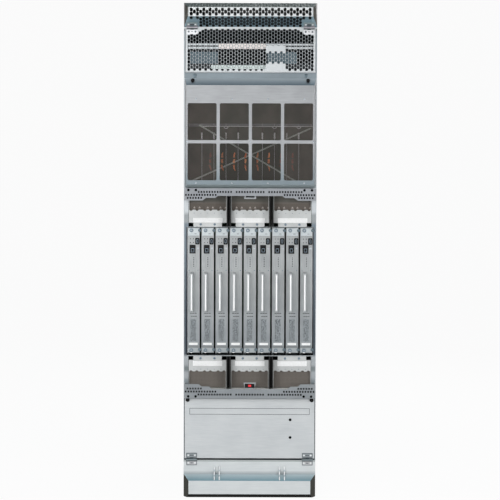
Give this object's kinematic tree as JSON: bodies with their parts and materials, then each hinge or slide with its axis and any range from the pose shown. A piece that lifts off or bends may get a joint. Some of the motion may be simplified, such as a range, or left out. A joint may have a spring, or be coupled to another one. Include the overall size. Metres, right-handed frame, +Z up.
{
  "type": "chassis router",
  "caption": "Tall floor-standing chassis router with vented hood, fan doors, meshed intake, air filters, cable brackets and upright switch boards with levers.",
  "frame": {"origin": "centre of the bounding box's bottom, on the floor", "axes": "+Z up, boards face -Y, +X to the right seen from the front"},
  "size_m": [0.608, 1, 2.2669],
  "materials": {
    "zinc_sheet": "zinc-plated sheet",
    "hinge_steel": "satin",
    "filter_sheet": "zinc-plated sheet",
    "grey_paint": "satin paint",
    "wire_cloth": "blackened wire",
    "black_plastic": "matt",
    "circuit_laminate": "satin",
    "board_sheet": "zinc-plated sheet",
    "lever_metal": "satin"
  },
  "bodies": {
    "cabinet": {"base_frame": "zinc_sheet", "roof_panel": "zinc_sheet", "side_panel_left": "zinc_sheet", "side_panel_right": "zinc_sheet", "rear_panel": "zinc_sheet", "chassis_frame": "zinc_sheet", "hood_cover": "zinc_sheet", "kick_cover": "zinc_sheet", "mesh_panel": "zinc_sheet", "card_cage": "zinc_sheet", "fan_tray_1": "zinc_sheet", "fan_tray_2": "zinc_sheet", "fan_tray_3": "zinc_sheet", "fan_tray_4": "zinc_sheet", "hinge_fixed_leaves": "hinge_steel", "hinge_pins": "hinge_steel", "upper_filter_1": "filter_sheet", "upper_filter_2": "filter_sheet", "upper_filter_3": "filter_sheet", "lower_filter_1": "filter_sheet", "lower_filter_2": "filter_sheet", "lower_filter_3": "filter_sheet", "upper_cable_bracket": "grey_paint", "lower_cable_bracket": "grey_paint", "mesh_screen": "wire_cloth", "filter_dividers": "black_plastic", "alarm_lamps": "black_plastic", "board_cage": "zinc_sheet", "midplane": "circuit_laminate"},
    "fan_door": {"fan_door": "zinc_sheet", "fan_door_hinge_leaves": "hinge_steel"},
    "lower_door": {"lower_door": "zinc_sheet", "lower_door_hinge_leaves": "hinge_steel"},
    "board_1": {"switch_board_1": "board_sheet"},
    "upper_lever_1": {"upper_lever_1": "lever_metal"},
    "lower_lever_1": {"lower_lever_1": "lever_metal"},
    "board_2": {"switch_board_2": "board_sheet"},
    "upper_lever_2": {"upper_lever_2": "lever_metal"},
    "lower_lever_2": {"lower_lever_2": "lever_metal"},
    "board_3": {"switch_board_3": "board_sheet"},
    "upper_lever_3": {"upper_lever_3": "lever_metal"},
    "lower_lever_3": {"lower_lever_3": "lever_metal"},
    "board_4": {"switch_board_4": "board_sheet"},
    "upper_lever_4": {"upper_lever_4": "lever_metal"},
    "lower_lever_4": {"lower_lever_4": "lever_metal"},
    "board_5": {"switch_board_5": "board_sheet"},
    "upper_lever_5": {"upper_lever_5": "lever_metal"},
    "lower_lever_5": {"lower_lever_5": "lever_metal"},
    "board_6": {"switch_board_6": "board_sheet"},
    "upper_lever_6": {"upper_lever_6": "lever_metal"},
    "lower_lever_6": {"lower_lever_6": "lever_metal"},
    "board_7": {"switch_board_7": "board_sheet"},
    "upper_lever_7": {"upper_lever_7": "lever_metal"},
    "lower_lever_7": {"lower_lever_7": "lever_metal"},
    "board_8": {"switch_board_8": "board_sheet"},
    "upper_lever_8": {"upper_lever_8": "lever_metal"},
    "lower_lever_8": {"lower_lever_8": "lever_metal"},
    "board_9": {"switch_board_9": "board_sheet"},
    "upper_lever_9": {"upper_lever_9": "lever_metal"},
    "lower_lever_9": {"lower_lever_9": "lever_metal"}
  },
  "joints": [
    {"name": "fan_door_hinge", "type": "hinge", "parent": "cabinet", "child": "fan_door", "pos_m": [0, -0.4464, 2.1539], "axis": [-1, 0, 0], "range_deg": [0, 100]},
    {"name": "lower_door_hinge", "type": "hinge", "parent": "cabinet", "child": "lower_door", "pos_m": [0, -0.4464, 0.173], "axis": [1, 0, 0], "range_deg": [0, 110]},
    {"name": "board_1_slide", "type": "slide", "parent": "cabinet", "child": "board_1", "axis": [0, -1, 0], "range_m": [0, 0.33]},
    {"name": "upper_lever_1_pivot", "type": "hinge", "parent": "board_1", "child": "upper_lever_1", "pos_m": [-0.2592, -0.4335, 1.2381], "axis": [-1, 0, 0], "range_deg": [0, 60]},
    {"name": "lower_lever_1_pivot", "type": "hinge", "parent": "board_1", "child": "lower_lever_1", "pos_m": [-0.2592, -0.4335, 0.6689], "axis": [1, 0, 0], "range_deg": [0, 60]},
    {"name": "board_2_slide", "type": "slide", "parent": "cabinet", "child": "board_2", "axis": [0, -1, 0], "range_m": [0, 0.33]},
    {"name": "upper_lever_2_pivot", "type": "hinge", "parent": "board_2", "child": "upper_lever_2", "pos_m": [-0.1944, -0.4335, 1.2381], "axis": [-1, 0, 0], "range_deg": [0, 60]},
    {"name": "lower_lever_2_pivot", "type": "hinge", "parent": "board_2", "child": "lower_lever_2", "pos_m": [-0.1944, -0.4335, 0.6689], "axis": [1, 0, 0], "range_deg": [0, 60]},
    {"name": "board_3_slide", "type": "slide", "parent": "cabinet", "child": "board_3", "axis": [0, -1, 0], "range_m": [0, 0.33]},
    {"name": "upper_lever_3_pivot", "type": "hinge", "parent": "board_3", "child": "upper_lever_3", "pos_m": [-0.1296, -0.4335, 1.2381], "axis": [-1, 0, 0], "range_deg": [0, 60]},
    {"name": "lower_lever_3_pivot", "type": "hinge", "parent": "board_3", "child": "lower_lever_3", "pos_m": [-0.1296, -0.4335, 0.6689], "axis": [1, 0, 0], "range_deg": [0, 60]},
    {"name": "board_4_slide", "type": "slide", "parent": "cabinet", "child": "board_4", "axis": [0, -1, 0], "range_m": [0, 0.33]},
    {"name": "upper_lever_4_pivot", "type": "hinge", "parent": "board_4", "child": "upper_lever_4", "pos_m": [-0.0648, -0.4335, 1.2381], "axis": [-1, 0, 0], "range_deg": [0, 60]},
    {"name": "lower_lever_4_pivot", "type": "hinge", "parent": "board_4", "child": "lower_lever_4", "pos_m": [-0.0648, -0.4335, 0.6689], "axis": [1, 0, 0], "range_deg": [0, 60]},
    {"name": "board_5_slide", "type": "slide", "parent": "cabinet", "child": "board_5", "axis": [0, -1, 0], "range_m": [0, 0.33]},
    {"name": "upper_lever_5_pivot", "type": "hinge", "parent": "board_5", "child": "upper_lever_5", "pos_m": [0, -0.4335, 1.2381], "axis": [-1, 0, 0], "range_deg": [0, 60]},
    {"name": "lower_lever_5_pivot", "type": "hinge", "parent": "board_5", "child": "lower_lever_5", "pos_m": [0, -0.4335, 0.6689], "axis": [1, 0, 0], "range_deg": [0, 60]},
    {"name": "board_6_slide", "type": "slide", "parent": "cabinet", "child": "board_6", "axis": [0, -1, 0], "range_m": [0, 0.33]},
    {"name": "upper_lever_6_pivot", "type": "hinge", "parent": "board_6", "child": "upper_lever_6", "pos_m": [0.0648, -0.4335, 1.2381], "axis": [-1, 0, 0], "range_deg": [0, 60]},
    {"name": "lower_lever_6_pivot", "type": "hinge", "parent": "board_6", "child": "lower_lever_6", "pos_m": [0.0648, -0.4335, 0.6689], "axis": [1, 0, 0], "range_deg": [0, 60]},
    {"name": "board_7_slide", "type": "slide", "parent": "cabinet", "child": "board_7", "axis": [0, -1, 0], "range_m": [0, 0.33]},
    {"name": "upper_lever_7_pivot", "type": "hinge", "parent": "board_7", "child": "upper_lever_7", "pos_m": [0.1296, -0.4335, 1.2381], "axis": [-1, 0, 0], "range_deg": [0, 60]},
    {"name": "lower_lever_7_pivot", "type": "hinge", "parent": "board_7", "child": "lower_lever_7", "pos_m": [0.1296, -0.4335, 0.6689], "axis": [1, 0, 0], "range_deg": [0, 60]},
    {"name": "board_8_slide", "type": "slide", "parent": "cabinet", "child": "board_8", "axis": [0, -1, 0], "range_m": [0, 0.33]},
    {"name": "upper_lever_8_pivot", "type": "hinge", "parent": "board_8", "child": "upper_lever_8", "pos_m": [0.1944, -0.4335, 1.2381], "axis": [-1, 0, 0], "range_deg": [0, 60]},
    {"name": "lower_lever_8_pivot", "type": "hinge", "parent": "board_8", "child": "lower_lever_8", "pos_m": [0.1944, -0.4335, 0.6689], "axis": [1, 0, 0], "range_deg": [0, 60]},
    {"name": "board_9_slide", "type": "slide", "parent": "cabinet", "child": "board_9", "axis": [0, -1, 0], "range_m": [0, 0.33]},
    {"name": "upper_lever_9_pivot", "type": "hinge", "parent": "board_9", "child": "upper_lever_9", "pos_m": [0.2592, -0.4335, 1.2381], "axis": [-1, 0, 0], "range_deg": [0, 60]},
    {"name": "lower_lever_9_pivot", "type": "hinge", "parent": "board_9", "child": "lower_lever_9", "pos_m": [0.2592, -0.4335, 0.6689], "axis": [1, 0, 0], "range_deg": [0, 60]}
  ]
}
